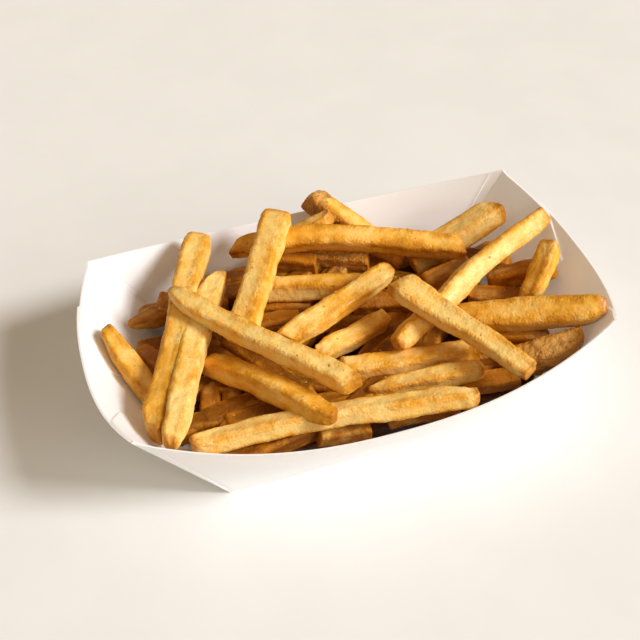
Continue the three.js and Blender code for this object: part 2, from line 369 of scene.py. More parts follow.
def fried_crust_group() -> bpy.types.NodeTree:
    """Build the group that colours a fried crust.

    Returns:
        A group that takes a fry's own coordinates and its edge, end and tone masks with a
        palette, and gives the colour, the roughness, the oil film and the height of the crust.
    """
    graph, given, made = new_group(
        "fried_crust",
        [
            ("Grain", Socket.VECTOR),
            ("Edge", Socket.FLOAT),
            ("End", Socket.FLOAT),
            ("Tone", Socket.FLOAT),
            ("Pale", Socket.COLOUR),
            ("Gold", Socket.COLOUR),
            ("Amber", Socket.COLOUR),
            ("Brown", Socket.COLOUR),
            ("Browning", Socket.FLOAT),
            ("Blister", Socket.FLOAT),
            ("Oiliness", Socket.FLOAT),
        ],
        [
            ("Colour", Socket.COLOUR),
            ("Roughness", Socket.FLOAT),
            ("Oil", Socket.FLOAT),
            ("Height", Socket.FLOAT),
        ],
    )
    grain, edge = given.outputs["Grain"], given.outputs["Edge"]
    place = graph.node("ShaderNodeTexCoord").outputs["Object"]
    broad = graph.noise(graph.stretch(grain, (0.45, 1.0, 1.0)), 105.0, 4.0)
    clouds = graph.noise(grain, 210.0, 4.0)
    blotches = graph.noise(grain, 420.0, 3.0)
    fine = graph.noise(place, 1300.0, 3.0)

    mottle = graph.sum(
        graph.remap(broad, *MIDDLE, 0.0, 0.55), graph.remap(clouds, *MIDDLE, 0.0, 0.3)
    )
    rim = graph.sum(edge, graph.remap(clouds, *MIDDLE, 0.12, 0.5), "MULTIPLY")
    toned = graph.sum(graph.sum(mottle, rim), graph.sum(given.outputs["Tone"], 0.6, "MULTIPLY"))
    colour = graph.blend(
        graph.remap(toned, 0.2, 1.25), given.outputs["Pale"], given.outputs["Gold"]
    )
    worn = graph.sum(graph.sum(blotches, 0.6, "MULTIPLY"), graph.sum(broad, 0.5, "MULTIPLY"))
    tips = graph.sum(worn, given.outputs["End"])
    patches = graph.sum(graph.noise(grain, 120.0, 4.0), given.outputs["Browning"])
    # Each layer's mask, where it begins and where it is full, its strength and its colour.
    for mask, low, high, strength, tint in (
        (toned, 0.85, 1.7, 0.8, "Amber"),
        (fine, 0.4, 0.75, 0.25, "Amber"),
        (graph.sum(worn, edge), 1.3, 1.75, 0.5, "Amber"),
        (tips, 0.8, 1.45, 0.85, "Amber"),
        (tips, 1.35, 1.75, 0.55, "Brown"),
        (patches, 0.66, 0.9, 0.8, "Brown"),
        (graph.noise(place, 800.0, 0.0), 0.82, 0.88, 0.25, "Brown"),
    ):
        share = graph.remap(mask, low, high, 0.0, strength)
        colour = graph.blend(share, colour, given.outputs[tint])

    pits = graph.sum(graph.cells(place, 700.0), given.outputs["Blister"], "MULTIPLY")
    crisp = graph.sum(graph.remap(edge, 0.2, 0.9, 0.5, 1.5), fine, "MULTIPLY")
    height = graph.sum(graph.sum(blotches, 0.8, "MULTIPLY"), crisp)
    height = graph.sum(height, graph.sum(pits, -0.8, "MULTIPLY"))

    graph.feed_all(
        made,
        {
            "Colour": colour,
            "Roughness": graph.remap(blotches, *MIDDLE, 0.36, 0.58),
            "Oil": graph.remap(clouds, 0.45, 0.68, 0.0, given.outputs["Oiliness"]),
            "Height": height,
        },
    )
    return graph.tree


def paper_fibre_group() -> bpy.types.NodeTree:
    """Build the group for paper board and a plain surface.

    Returns:
        A group that takes two colours and a grain size and gives a faintly mottled colour, a
        roughness between two values and the height of the fibres.
    """
    graph, given, made = new_group(
        "paper_fibre",
        [
            ("Light", Socket.COLOUR),
            ("Dark", Socket.COLOUR),
            ("Grain", Socket.FLOAT),
        ],
        [("Colour", Socket.COLOUR), ("Roughness", Socket.FLOAT), ("Height", Socket.FLOAT)],
    )
    place = graph.node("ShaderNodeTexCoord").outputs["Object"]
    broad = graph.noise(place, 28.0, 3.0)
    fibres = graph.noise(graph.stretch(place, (0.35, 1.0, 0.8)), 1.0, 4.0)
    graph.feed(fibres.node.inputs["Scale"], given.outputs["Grain"])
    shade = graph.remap(broad, 0.35, 0.65)
    graph.feed_all(
        made,
        {
            "Colour": graph.blend(shade, given.outputs["Light"], given.outputs["Dark"]),
            "Roughness": graph.remap(fibres, *MIDDLE, 0.46, 0.6),
            "Height": fibres,
        },
    )
    return graph.tree


@dataclass(frozen=True)
class CrustFinish:
    """The look of one kind of fry."""

    name: str
    pale: Colour = (1.0, 0.72, 0.25)
    gold: Colour = (0.9, 0.45, 0.035)
    amber: Colour = (0.58, 0.225, 0.006)
    brown: Colour = (0.25, 0.075, 0.002)
    browning: float = 0.0
    blister: float = 0.35
    oiliness: float = 0.25
    relief: float = 0.00028
    bump: float = 1.0
    specular: float = 0.25
    coat_roughness: float = 0.26
    glow: float = 0.3
    glow_radius: Colour = (1.0, 0.42, 0.1)
    glow_depth: float = 0.002

    def material(self, crust: bpy.types.NodeTree) -> bpy.types.Material:
        """Build the material.

        Args:
            crust: the fried crust group.

        Returns:
            The material.
        """
        material, graph, shader = new_material(self.name)
        group = graph.node("ShaderNodeGroup", node_tree=crust)
        grain = graph.node("ShaderNodeAttribute", attribute_name="grain")
        graph.feed(group.inputs["Grain"], grain.outputs["Vector"])
        for label, attribute in (("Edge", "edge"), ("End", "tip"), ("Tone", "tone")):
            mask = graph.node("ShaderNodeAttribute", attribute_name=attribute)
            graph.feed(group.inputs[label], mask.outputs["Fac"])
        graph.feed_all(
            group,
            {
                "Pale": self.pale,
                "Gold": self.gold,
                "Amber": self.amber,
                "Brown": self.brown,
                "Browning": self.browning,
                "Blister": self.blister,
                "Oiliness": self.oiliness,
            },
        )
        graph.feed_all(
            shader,
            {
                "Base Color": group.outputs["Colour"],
                "Roughness": group.outputs["Roughness"],
                "Specular IOR Level": self.specular,
                "Coat Weight": group.outputs["Oil"],
                "Coat Roughness": self.coat_roughness,
                "Subsurface Weight": self.glow,
                "Subsurface Radius": self.glow_radius,
                "Subsurface Scale": self.glow_depth,
                "Normal": bumped(graph, group.outputs["Height"], self.bump, self.relief),
            },
        )
        return material


@dataclass(frozen=True)
class BoardFinish:
    """The look of paper board or of the surface under the tray."""

    name: str
    light: Colour = (0.975, 0.97, 0.965)
    dark: Colour = (0.96, 0.95, 0.94)
    grain: float = 900.0
    relief: float = 0.00006
    glow: float = 0.4
    bump: float = 0.6
    glow_radius: Colour = (1.0, 0.85, 0.7)
    glow_depth: float = 0.003

    def material(self, fibre: bpy.types.NodeTree) -> bpy.types.Material:
        """Build the material.

        Args:
            fibre: the paper fibre group.

        Returns:
            The material.
        """
        material, graph, shader = new_material(self.name)
        group = graph.node("ShaderNodeGroup", node_tree=fibre)
        graph.feed_all(group, {"Light": self.light, "Dark": self.dark, "Grain": self.grain})
        graph.feed_all(
            shader,
            {
                "Base Color": group.outputs["Colour"],
                "Roughness": group.outputs["Roughness"],
                "Subsurface Weight": self.glow,
                "Subsurface Radius": self.glow_radius,
                "Subsurface Scale": self.glow_depth,
                "Normal": bumped(graph, group.outputs["Height"], self.bump, self.relief),
            },
        )
        return material


def new_material(name: str) -> tuple[bpy.types.Material, Graph, bpy.types.Node]:
    """Make a material with its Principled BSDF alone.

    Args:
        name: the material's name.

    Returns:
        The material, its graph and its shader node.
    """
    material = bpy.data.materials.new(name)
    material.use_nodes = True
    shader = next(n for n in material.node_tree.nodes if n.type == "BSDF_PRINCIPLED")
    return material, Graph(material.node_tree), shader


def bumped(
    graph: Graph, height: bpy.types.NodeSocket, strength: float, distance: float
) -> bpy.types.NodeSocket:
    """Add a Bump node for a height and return its normal.

    Args:
        graph: the material's graph.
        height: the height socket.
        strength: how strongly it shows.
        distance: the height's full depth in metres.

    Returns:
        The normal socket.
    """
    bump = graph.node("ShaderNodeBump")
    graph.feed_all(bump, {"Strength": strength, "Distance": distance, "Height": height})
    return bump.outputs["Normal"]


# ------------------------------------------------------------------------------- tray


@dataclass
class PaperTray:
    """The folded tray: a sheet whose long walls wrap the corners and lie glued inside the ends."""

    base_length: float = 104.0
    base_width: float = 80.0
    peak: Point = (79.0, 43.5, 39.0)
    side_bulge: float = 14.0
    side_dip: float = 10.0
    side_roundness: float = 2.3
    end_bulge: float = 9.0
    end_dip: float = 5.0
    end_roundness: float = 2.4
    board: float = 0.5
    crease: float = 0.95
    panel_rim: tuple[float, float] = (0.97, 0.58)
    left_flap_rim: tuple[float, float] = (0.69, 0.43)
    right_flap_rim: tuple[float, float] = (0.86, 0.43)
    flap_foot: tuple[float, float] = (0.5, -0.03)
    flap_shoulder: float = 0.86
    step: float = 0.006
    score: float = 0.15
    side_spans: int = 44
    corner_spans: int = 8
    panel_spans: int = 14
    levels: tuple[float, ...] = (0.0, 0.02, 0.08, 0.2, 0.35, 0.5, 0.65, 0.78, 0.86, 0.93, 1.0)
    crease_shares: tuple[float, ...] = (1.0, 0.992, 0.984, 0.976)
    scored_share: float = 0.984
    middle_reach: float = 0.96
    smooth_angle: float = 24.0
    weld: float = 1e-7
    limit_passes: int = 3

    @staticmethod
    def lean(run: float, rise: float) -> float:
        """Return how much a leaning board's thickness grows when it is measured level."""
        return math.hypot(run, rise) / rise

    def side_rim(self, t: float, sign: float) -> Vector:
        """Return the rim point of a long wall at share t of its half length."""
        swell = 1 - abs(t) ** self.side_roundness
        return Vector(
            (
                self.peak[0] * t,
                sign * (self.peak[1] + self.side_bulge * swell),
                self.peak[2] - self.side_dip * swell,
            )
        )

    def end_rim(self, t: float, sign: float) -> Vector:
        """Return the rim point of an end wall at share t of its half width."""
        swell = 1 - abs(t) ** self.end_roundness
        return Vector(
            (
                sign * (self.peak[0] + self.end_bulge * swell),
                self.peak[1] * t,
                self.peak[2] - self.end_dip * swell,
            )
        )

    def wall_point(
        self, base: Vector, rim: Vector, v: float, outward: Vector, depth: float
    ) -> Vector:
        """Return a wall's point in metres.

        Args:
            base: where its line starts on the base, in millimetres.
            rim: where the line ends on the rim.
            v: the share of the height.
            outward: which way is out, along X and Y.
            depth: how far the point is moved inward.

        Returns:
            The point.
        """
        side_lean = self.lean(
            self.peak[1] + self.side_bulge - self.base_width / 2, self.peak[2] - self.side_dip
        )
        end_lean = self.lean(
            self.peak[0] + self.end_bulge - self.base_length / 2, self.peak[2] - self.end_dip
        )
        point = base.lerp(rim, v)
        point.x -= outward.x * depth * end_lean
        point.y -= outward.y * depth * side_lean
        return point * MM

    def height_share(self, v: float, rim: Vector, is_inner: bool) -> float:
        """Return a level's share of the height, kept above the floor board on the inside."""
        return max(v, self.board / rim.z) if is_inner else v

    def side_stretch(self, sign: float, v: float, is_inner: bool) -> Iterator[Vector]:
        """Give the long wall's points of one level, from one corner crease to the other."""
        ends, reach = self.crease_shares, self.middle_reach
        middle = [mix(reach, -reach, i / self.side_spans) for i in range(self.side_spans + 1)]
        shares = [*ends, *middle, *(-share for share in reversed(ends))]
        for share in shares:
            run = sign * share
            base = Vector((run * self.base_length / 2, sign * self.base_width / 2, 0.0))
            rim = self.side_rim(run * self.crease, sign)
            outward = Vector((run * (1 - v) if abs(run) == 1 else 0.0, sign, 0.0))
            depth = self.board if is_inner else 0.0
            if abs(share) == self.scored_share and v > 0:
                depth += self.score
            yield self.wall_point(
                base, rim, self.height_share(v, rim, is_inner), outward, depth
            )

    def end_shares(self, front: float, back: float) -> list[float]:
        """Return the shares along an end, front to back, with a narrow step at each cut edge."""

        def stretch(start: float, end: float, spans: int) -> list[float]:
            return [mix(start, end, i / spans) for i in range(spans + 1)]

        return [
            *stretch(-1.0, -front - self.step, self.corner_spans),
            *stretch(-front, back, self.panel_spans),
            *stretch(back + self.step, 1.0, self.corner_spans),
        ]

    def cut_edges(self, sign: float, v: float, is_inner: bool) -> tuple[float, float]:
        """Return where the front and back cut edge run at a level of an end.

        Args:
            sign: which end, by the sign of its X.
            v: the share of the height.
            is_inner: whether it is the inside, where the glued flaps show, or the end panel.

        Returns:
            Both as shares of the end's half width.
        """
        if is_inner:
            feet, rims = self.flap_foot, self.right_flap_rim if sign > 0 else self.left_flap_rim
            rise = max(0.0, (v - self.flap_shoulder) / (1 - self.flap_shoulder))
        else:
            feet, rims, rise = (1 - 2 * self.step,) * 2, self.panel_rim, v
        return mix(feet[0], rims[0], rise), mix(feet[1], rims[1], rise)

    def end_stretch(self, sign: float, v: float, is_inner: bool) -> Iterator[Vector]:
        """Give the end wall's points of one level: two boards thick where a flap is glued in."""
        front, back = self.cut_edges(sign, v, is_inner)
        shares = self.end_shares(front, back)
        for share in shares if sign > 0 else reversed(shares):
            is_peak = abs(share) == 1
            beside = share < -front - self.step / 2 or share > back + self.step / 2
            is_doubled = beside and not is_peak and v > 0
            rim = self.end_rim(share, sign)
            base = Vector((sign * self.base_length / 2, share * self.base_width / 2, 0.0))
            outward = Vector((sign, share if is_peak else 0.0, 0.0))
            depth = (self.board if is_inner else 0.0) + (self.board if is_doubled else 0.0)
            yield self.wall_point(
                base, rim, self.height_share(v, rim, is_inner), outward, depth
            )

    def level(self, v: float, is_inner: bool) -> list[Vector]:
        """Return one level's loop of points round the tray."""
        return [
            *self.side_stretch(1.0, v, is_inner),
            *self.end_stretch(-1.0, v, is_inner),
            *self.side_stretch(-1.0, v, is_inner),
            *self.end_stretch(1.0, v, is_inner),
        ]

    def build(self) -> bpy.types.Object:
        """Model the tray: its base loop is extruded up the outside and down the inside.

        Returns:
            The finished mesh object.
        """
        outside = [self.level(v, False) for v in self.levels]
        inside = [self.level(v, True) for v in reversed(self.levels)]
        loops = outside + inside
        bpy.ops.object.select_all(action="DESELECT")
        bpy.ops.mesh.primitive_circle_add(
            vertices=len(loops[0]), radius=self.base_width / 2 * MM, fill_type="NOTHING"
        )
        tray = bpy.context.object
        tray.name = "paper_tray"
        bpy.ops.object.mode_set(mode="EDIT")
        bpy.ops.mesh.select_all(action="SELECT")
        order = self.place_loop(tray, None, loops[0])
        bpy.ops.mesh.edge_face_add()
        for loop in loops[1:]:
            self.choose_loop(tray, order)
            bpy.ops.mesh.extrude_edges_move()
            order = self.place_loop(tray, order, loop)
        self.choose_loop(tray, order)
        bpy.ops.mesh.edge_face_add()
        bpy.ops.mesh.select_all(action="SELECT")
        bpy.ops.mesh.remove_doubles(threshold=self.weld)
        bpy.ops.mesh.select_all(action="SELECT")
        bpy.ops.mesh.normals_make_consistent(inside=False)
        bpy.ops.object.mode_set(mode="OBJECT")
        make_active(tray)
        bpy.ops.object.shade_smooth_by_angle(angle=math.radians(self.smooth_angle))
        return tray

    @staticmethod
    def choose_loop(tray: bpy.types.Object, order: Sequence[int]) -> None:
        """Select the edges of the loop last drawn.

        Args:
            tray: the object in edit mode.
            order: the loop's points by index.
        """
        mesh = bmesh.from_edit_mesh(tray.data)
        mesh.verts.ensure_lookup_table()
        bpy.ops.mesh.select_mode(type="EDGE")
        bpy.ops.mesh.select_all(action="DESELECT")
        for first, second in zip(order, (*order[1:], order[0])):
            mesh.edges.get((mesh.verts[first], mesh.verts[second])).select_set(True)
        bmesh.update_edit_mesh(tray.data)

    @staticmethod
    def place_loop(
        tray: bpy.types.Object, below: Sequence[int] | None, points: Sequence[Vector]
    ) -> list[int]:
        """Slide the points that are selected to their places on the wall.

        Args:
            tray: the object in edit mode.
            below: the loop that the points were extruded from, or None for the first loop.
            points: their places in order.

        Returns:
            The points by index in order.
        """
        mesh = bmesh.from_edit_mesh(tray.data)
        mesh.verts.ensure_lookup_table()
        if below is None:
            order = list(range(len(points)))
        else:
            fresh = {vertex.index for vertex in mesh.verts if vertex.select}
            order = [
                next(
                    edge.other_vert(mesh.verts[index]).index
                    for edge in mesh.verts[index].link_edges
                    if edge.other_vert(mesh.verts[index]).index in fresh
                )
                for index in below
            ]
        for index, point in zip(order, points):
            mesh.verts[index].co = point
        bmesh.update_edit_mesh(tray.data)
        return order

    def limits(self, place: Vector) -> tuple[float, float]:
        """Return how far out the inside of the walls lies at a place, along X and along Y.

        Args:
            place: the place in millimetres, either side of the tray's middle.

        Returns:
            Both limits, without bound above the rim.
        """
        x, y, z = abs(place.x), abs(place.y), place.z
        side_v = end_v = z / self.peak[2]
        for _ in range(self.limit_passes):
            run = min(1.0, x / mix(self.base_length / 2, self.peak[0] * self.crease, side_v))
            share = min(1.0, y / mix(self.base_width / 2, self.peak[1], end_v))
            side_rim, end_rim = self.side_rim(run * self.crease, 1.0), self.end_rim(share, 1.0)
            side_v, end_v = min(1.0, z / side_rim.z), min(1.0, z / end_rim.z)
        across = mix(self.base_width / 2, side_rim.y, side_v) - 2 * self.board
        along = mix(self.base_length / 2, end_rim.x, end_v) - 4 * self.board
        return (along if end_v < 1 else math.inf), (across if side_v < 1 else math.inf)

    def keep_inside(self, piece: bpy.types.Object) -> None:
        """Press what would cut into the walls flat against their inside."""
        for vertex in piece.data.vertices:
            place = vertex.co / MM
            along, across = self.limits(place)
            vertex.co.x = math.copysign(min(abs(place.x), along), place.x) * MM
            vertex.co.y = math.copysign(min(abs(place.y), across), place.y) * MM

    def dress(self, tray: bpy.types.Object, fibre: bpy.types.NodeTree) -> None:
        """Give the tray its paper finish and its place in the frame."""
        tray.data.materials.clear()
        tray.data.materials.append(BoardFinish("white_paper_board").material(fibre))
        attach(tray, "root")
        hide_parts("tray")


# ------------------------------------------------------------------------------ fries


class Tip(Enum):
    """How an end of a fry is shaped: the scale of its last rings, a slant and a lean."""

    CUT = ((0.7, 0.85, 0.93, 0.98, 1.0), 0.0, 0)
    LEFT = ((0.72, 0.86, 0.94, 0.98, 1.0), 0.5, 0)
    RIGHT = ((0.72, 0.86, 0.94, 0.98, 1.0), -0.5, 0)
    ROUND = ((0.42, 0.62, 0.8, 0.93, 1.0), 0.0, 0)
    POINT = ((0.24, 0.34, 0.5, 0.74, 0.93), 0.0, 0)
    LEAN_LEFT = ((0.42, 0.52, 0.66, 0.84, 0.97), 0.2, 1)
    LEAN_RIGHT = ((0.42, 0.52, 0.66, 0.84, 0.97), -0.2, -1)

    @property
    def scales(self) -> tuple[float, ...]:
        """The scale of the section at the end ring and at those beside it."""
        return self.value[0]

    @property
    def slant(self) -> float:
        """The turn of the end's cut, in radians, seen from above."""
        return self.value[1]

    @property
    def lean(self) -> int:
        """The side that stays straight while the end narrows: 1 left, -1 right, 0 neither."""
        return self.value[2]


class Crust(Enum):
    """The kinds of fry, each a piece with its own finish."""

    GOLDEN = "fries_golden"
    LONG = "fries_long"
    CRISP = "fries_crisp"
    # The lower fries, whose crust is darkened as painted shade for the gaps between fries.
    LOW = "fries_low"
    SKIN = "fries_skin_on"
    # The buried layer, whose dark crust is painted shade for the deep gaps.
    BURIED = "fries_buried"


@dataclass(frozen=True)
class Fry:
    """One fry: the ends of its centre line in millimetres and how it departs from a plain stick."""

    start: Point
    end: Point
    side: float = 6.6
    turn: float = 0.0
    bow: float = 0.0
    arch: float = 0.0
    wide: float = 1.0
    belly: float = 0.0
    flat: float = 1.0
    tips: tuple[Tip, Tip] = (Tip.CUT, Tip.CUT)
    tone: float = 0.5
    crust: Crust = Crust.GOLDEN

    @property
    def length(self) -> float:
        """The length in metres."""
        return (Vector(self.end) - Vector(self.start)).length * MM

    def place(self) -> Matrix:
        """Return the matrix that lays a fry made along X on its centre line."""
        start, end = Vector(self.start) * MM, Vector(self.end) * MM
        along = (end - start).normalized()
        across = UP.cross(along).normalized()
        upward = along.cross(across)
        turned = Matrix((along, across, upward)).transposed()
        return Matrix.Translation((start + end) / 2) @ turned.to_4x4()


def top_fries() -> list[Fry]:
    """Return the fries that show, lowest first."""
    cut, left, right, round_, point = Tip.CUT, Tip.LEFT, Tip.RIGHT, Tip.ROUND, Tip.POINT
    lean_left, lean_right = Tip.LEAN_LEFT, Tip.LEAN_RIGHT
    low, skin, long, crisp = Crust.LOW, Crust.SKIN, Crust.LONG, Crust.CRISP
    return [
        Fry((-69, 11, 22), (-58.5, -9, 20.5), tone=1.0, crust=low),
        Fry((-70, 23.5, 24), (-48, 24, 23.5), tips=(point, cut), tone=0.4, crust=low),
        Fry((-29.5, 11, 20), (-12, 11, 20), tone=1.0, crust=low),
        Fry((-29, 20, 20.5), (-6.5, 15, 20.5), tone=1.0, crust=low),
        Fry((10.5, 31, 20), (3, 21, 19), tone=1.0, crust=skin),
        Fry((-24.5, 22, 27), (16.5, 7.5, 28), 7.0, -10, tone=0.3),
        Fry((7, 7, 23.5), (27, 0.5, 25), 6.6, 20, tone=0.9, crust=low),
        Fry((13.5, -5, 19), (28.5, 5, 19), 7.0, 20, tone=1.0, crust=low),
        Fry((-2.5, 38.8, 24), (19.5, 26.8, 24.5), 7.2, 10, tone=0.5, crust=skin),
        Fry((-15, 40.8, 24.2), (1, 31.8, 23.8), 7.4, 10, tone=0.6, crust=low),
        Fry((33, 7.5, 24.5), (53, 13, 25), 7.0, 20, tone=0.7, crust=low),
        Fry((43.5, -20.5, 22), (63.5, -30, 22), 6.6, 10, tone=0.9, crust=low),
        Fry((52.5, -38.5, 21.5), (64, -38, 22), 6.4, 10, tone=1.0, crust=skin),
        Fry((28, -37, 18.5), (48, -40.5, 20), 6.6, 10, tone=1.0, crust=low),
        Fry((0.5, -42, 18.5), (23.5, -47, 22), 6.4, tone=0.9, crust=low),
        Fry((-41, -7, 17.5), (-46.5, -28.5, 16.5), 7.0, tone=0.8, crust=low),
        Fry((-48.5, -4.5, 17.5), (-53.5, -27.5, 16.5), tone=0.7, crust=low),
        Fry((-38, -24.5, 18), (-20, -31, 18), 6.6, 10, tips=(round_, cut), tone=0.6, crust=low),
        Fry((-22, -41, 17.5), (-5.5, -44, 17.5), 6.6, 10, tone=0.5, crust=low),
        Fry((47.5, 1, 21.5), (67.5, -10, 22), 6.6, 10, tone=0.6, crust=low),
        Fry((56.5, 4, 23.5), (78, -5, 29.5), tips=(cut, round_), tone=0.9, crust=low),
        Fry((6, 54, 36), (33, 27, 20), 8.4, tips=(round_, cut), tone=0.7),
        Fry((4.8, 55, 36.6), (16.5, 43.5, 29.9), 8.6, tips=(round_, round_), tone=0.6, crust=skin),
        Fry((9.5, 40, 38), (-11, 43.5, 25), 6.8, tips=(lean_right, cut), tone=0.6),
        Fry((70, 28, 33), (33.5, 22.5, 23), 8.8, 5, belly=0.1, tips=(left, cut), tone=0.3),
        Fry((-78, 15.5, 32), (-65.5, -21.5, 20.5), 7.3, tips=(round_, cut), tone=0.7),
        Fry((-58.5, 25, 30), (-45.5, 20, 26), 6.4, tips=(round_, cut), tone=1.0, crust=skin),
        Fry(
            (-38, 48, 34), (-72, -35.5, 31.5), 7.6, 3, wide=1.2,
            tips=(cut, right), tone=0.4, crust=long,
        ),
        Fry(
            (-27, 42, 31.5), (50.5, 13.5, 31), 7.8, 25, 3, 2.5,
            tips=(right, left), tone=0.75, crust=crisp,
        ),
        Fry(
            (-37.2, 29, 31.5), (-67.6, -43.5, 33), 8.3, -5, -1, belly=0.06,
            tips=(lean_left, point), tone=0.0, crust=long,
        ),
        Fry((77.5, 0, 37), (62.5, -14, 28), 6.8, 20, tips=(cut, left), tone=0.5),
        Fry((34, -10, 23), (62, -24, 25.5), 6.6, 20, tone=0.5, crust=low),
        Fry((37, -14, 27), (80, -35, 36.5), 8.8, 25, tips=(cut, round_), tone=0.6, crust=crisp),
        Fry((48, -36.5, 24.5), (71, -39, 28.5), 9.0, flat=0.8, tips=(cut, lean_left), crust=skin),
        Fry((-13.5, -13, 24), (14.5, -3.5, 24.5), 6.6, 15, tips=(right, cut), tone=0.2),
        Fry((-7.5, -20.5, 22.5), (37.5, -28.5, 24), 6.8, tips=(cut, left), tone=0.4),
        Fry((-2, -32, 22), (36.5, -37, 24), 6.6, tips=(point, round_), tone=0.5),
        Fry(
            (-61.5, -38, 24.5), (28.5, -50, 28), 6.7, -15, 3,
            tips=(round_, round_), tone=0.0, crust=long,
        ),
        Fry(
            (81, 14, 38), (11.5, -22.5, 29.5), 7.7, -37, -1.5, 1,
            tips=(cut, round_), tone=0.0, crust=long,
        ),
        Fry(
            (-48.5, -6, 25.5), (-19, -47.5, 31.5), 7.3, -12, 2,
            tips=(cut, lean_left), tone=0.85, crust=crisp,
        ),
        Fry((-9.5, 44, 40.5), (-38, -4, 31), 8.4, 7, wide=1.2, tone=0.2, crust=long),
        Fry(
            (20.5, 8.5, 34.5), (-24, -8, 29.5), 7.4, -15,
            tips=(round_, left), tone=0.4, crust=crisp,
        ),
        Fry(
            (18, -6.5, 41.5), (45.5, -51, 33), 6.9, 18, wide=1.5,
            tips=(right, cut), tone=0.2, crust=crisp,
        ),
        Fry(
            (-55, 18.5, 39.5), (-9, -41, 37.5), 7.3, 12, -2,
            tips=(point, right), tone=0.2, crust=long,
        ),
    ]


@dataclass(frozen=True)
class Ring:
    """One ring of a fry: where it goes and how far it is out of true there."""

    index: int
    count: int
    place: float
    share: float
    twist: float
    drift: tuple[float, float]
    swell: tuple[float, float]
    cant: tuple[float, float]

    @property
    def from_end(self) -> int:
        """How many rings there are between it and the nearer end."""
        return min(self.index, self.count - 1 - self.index)


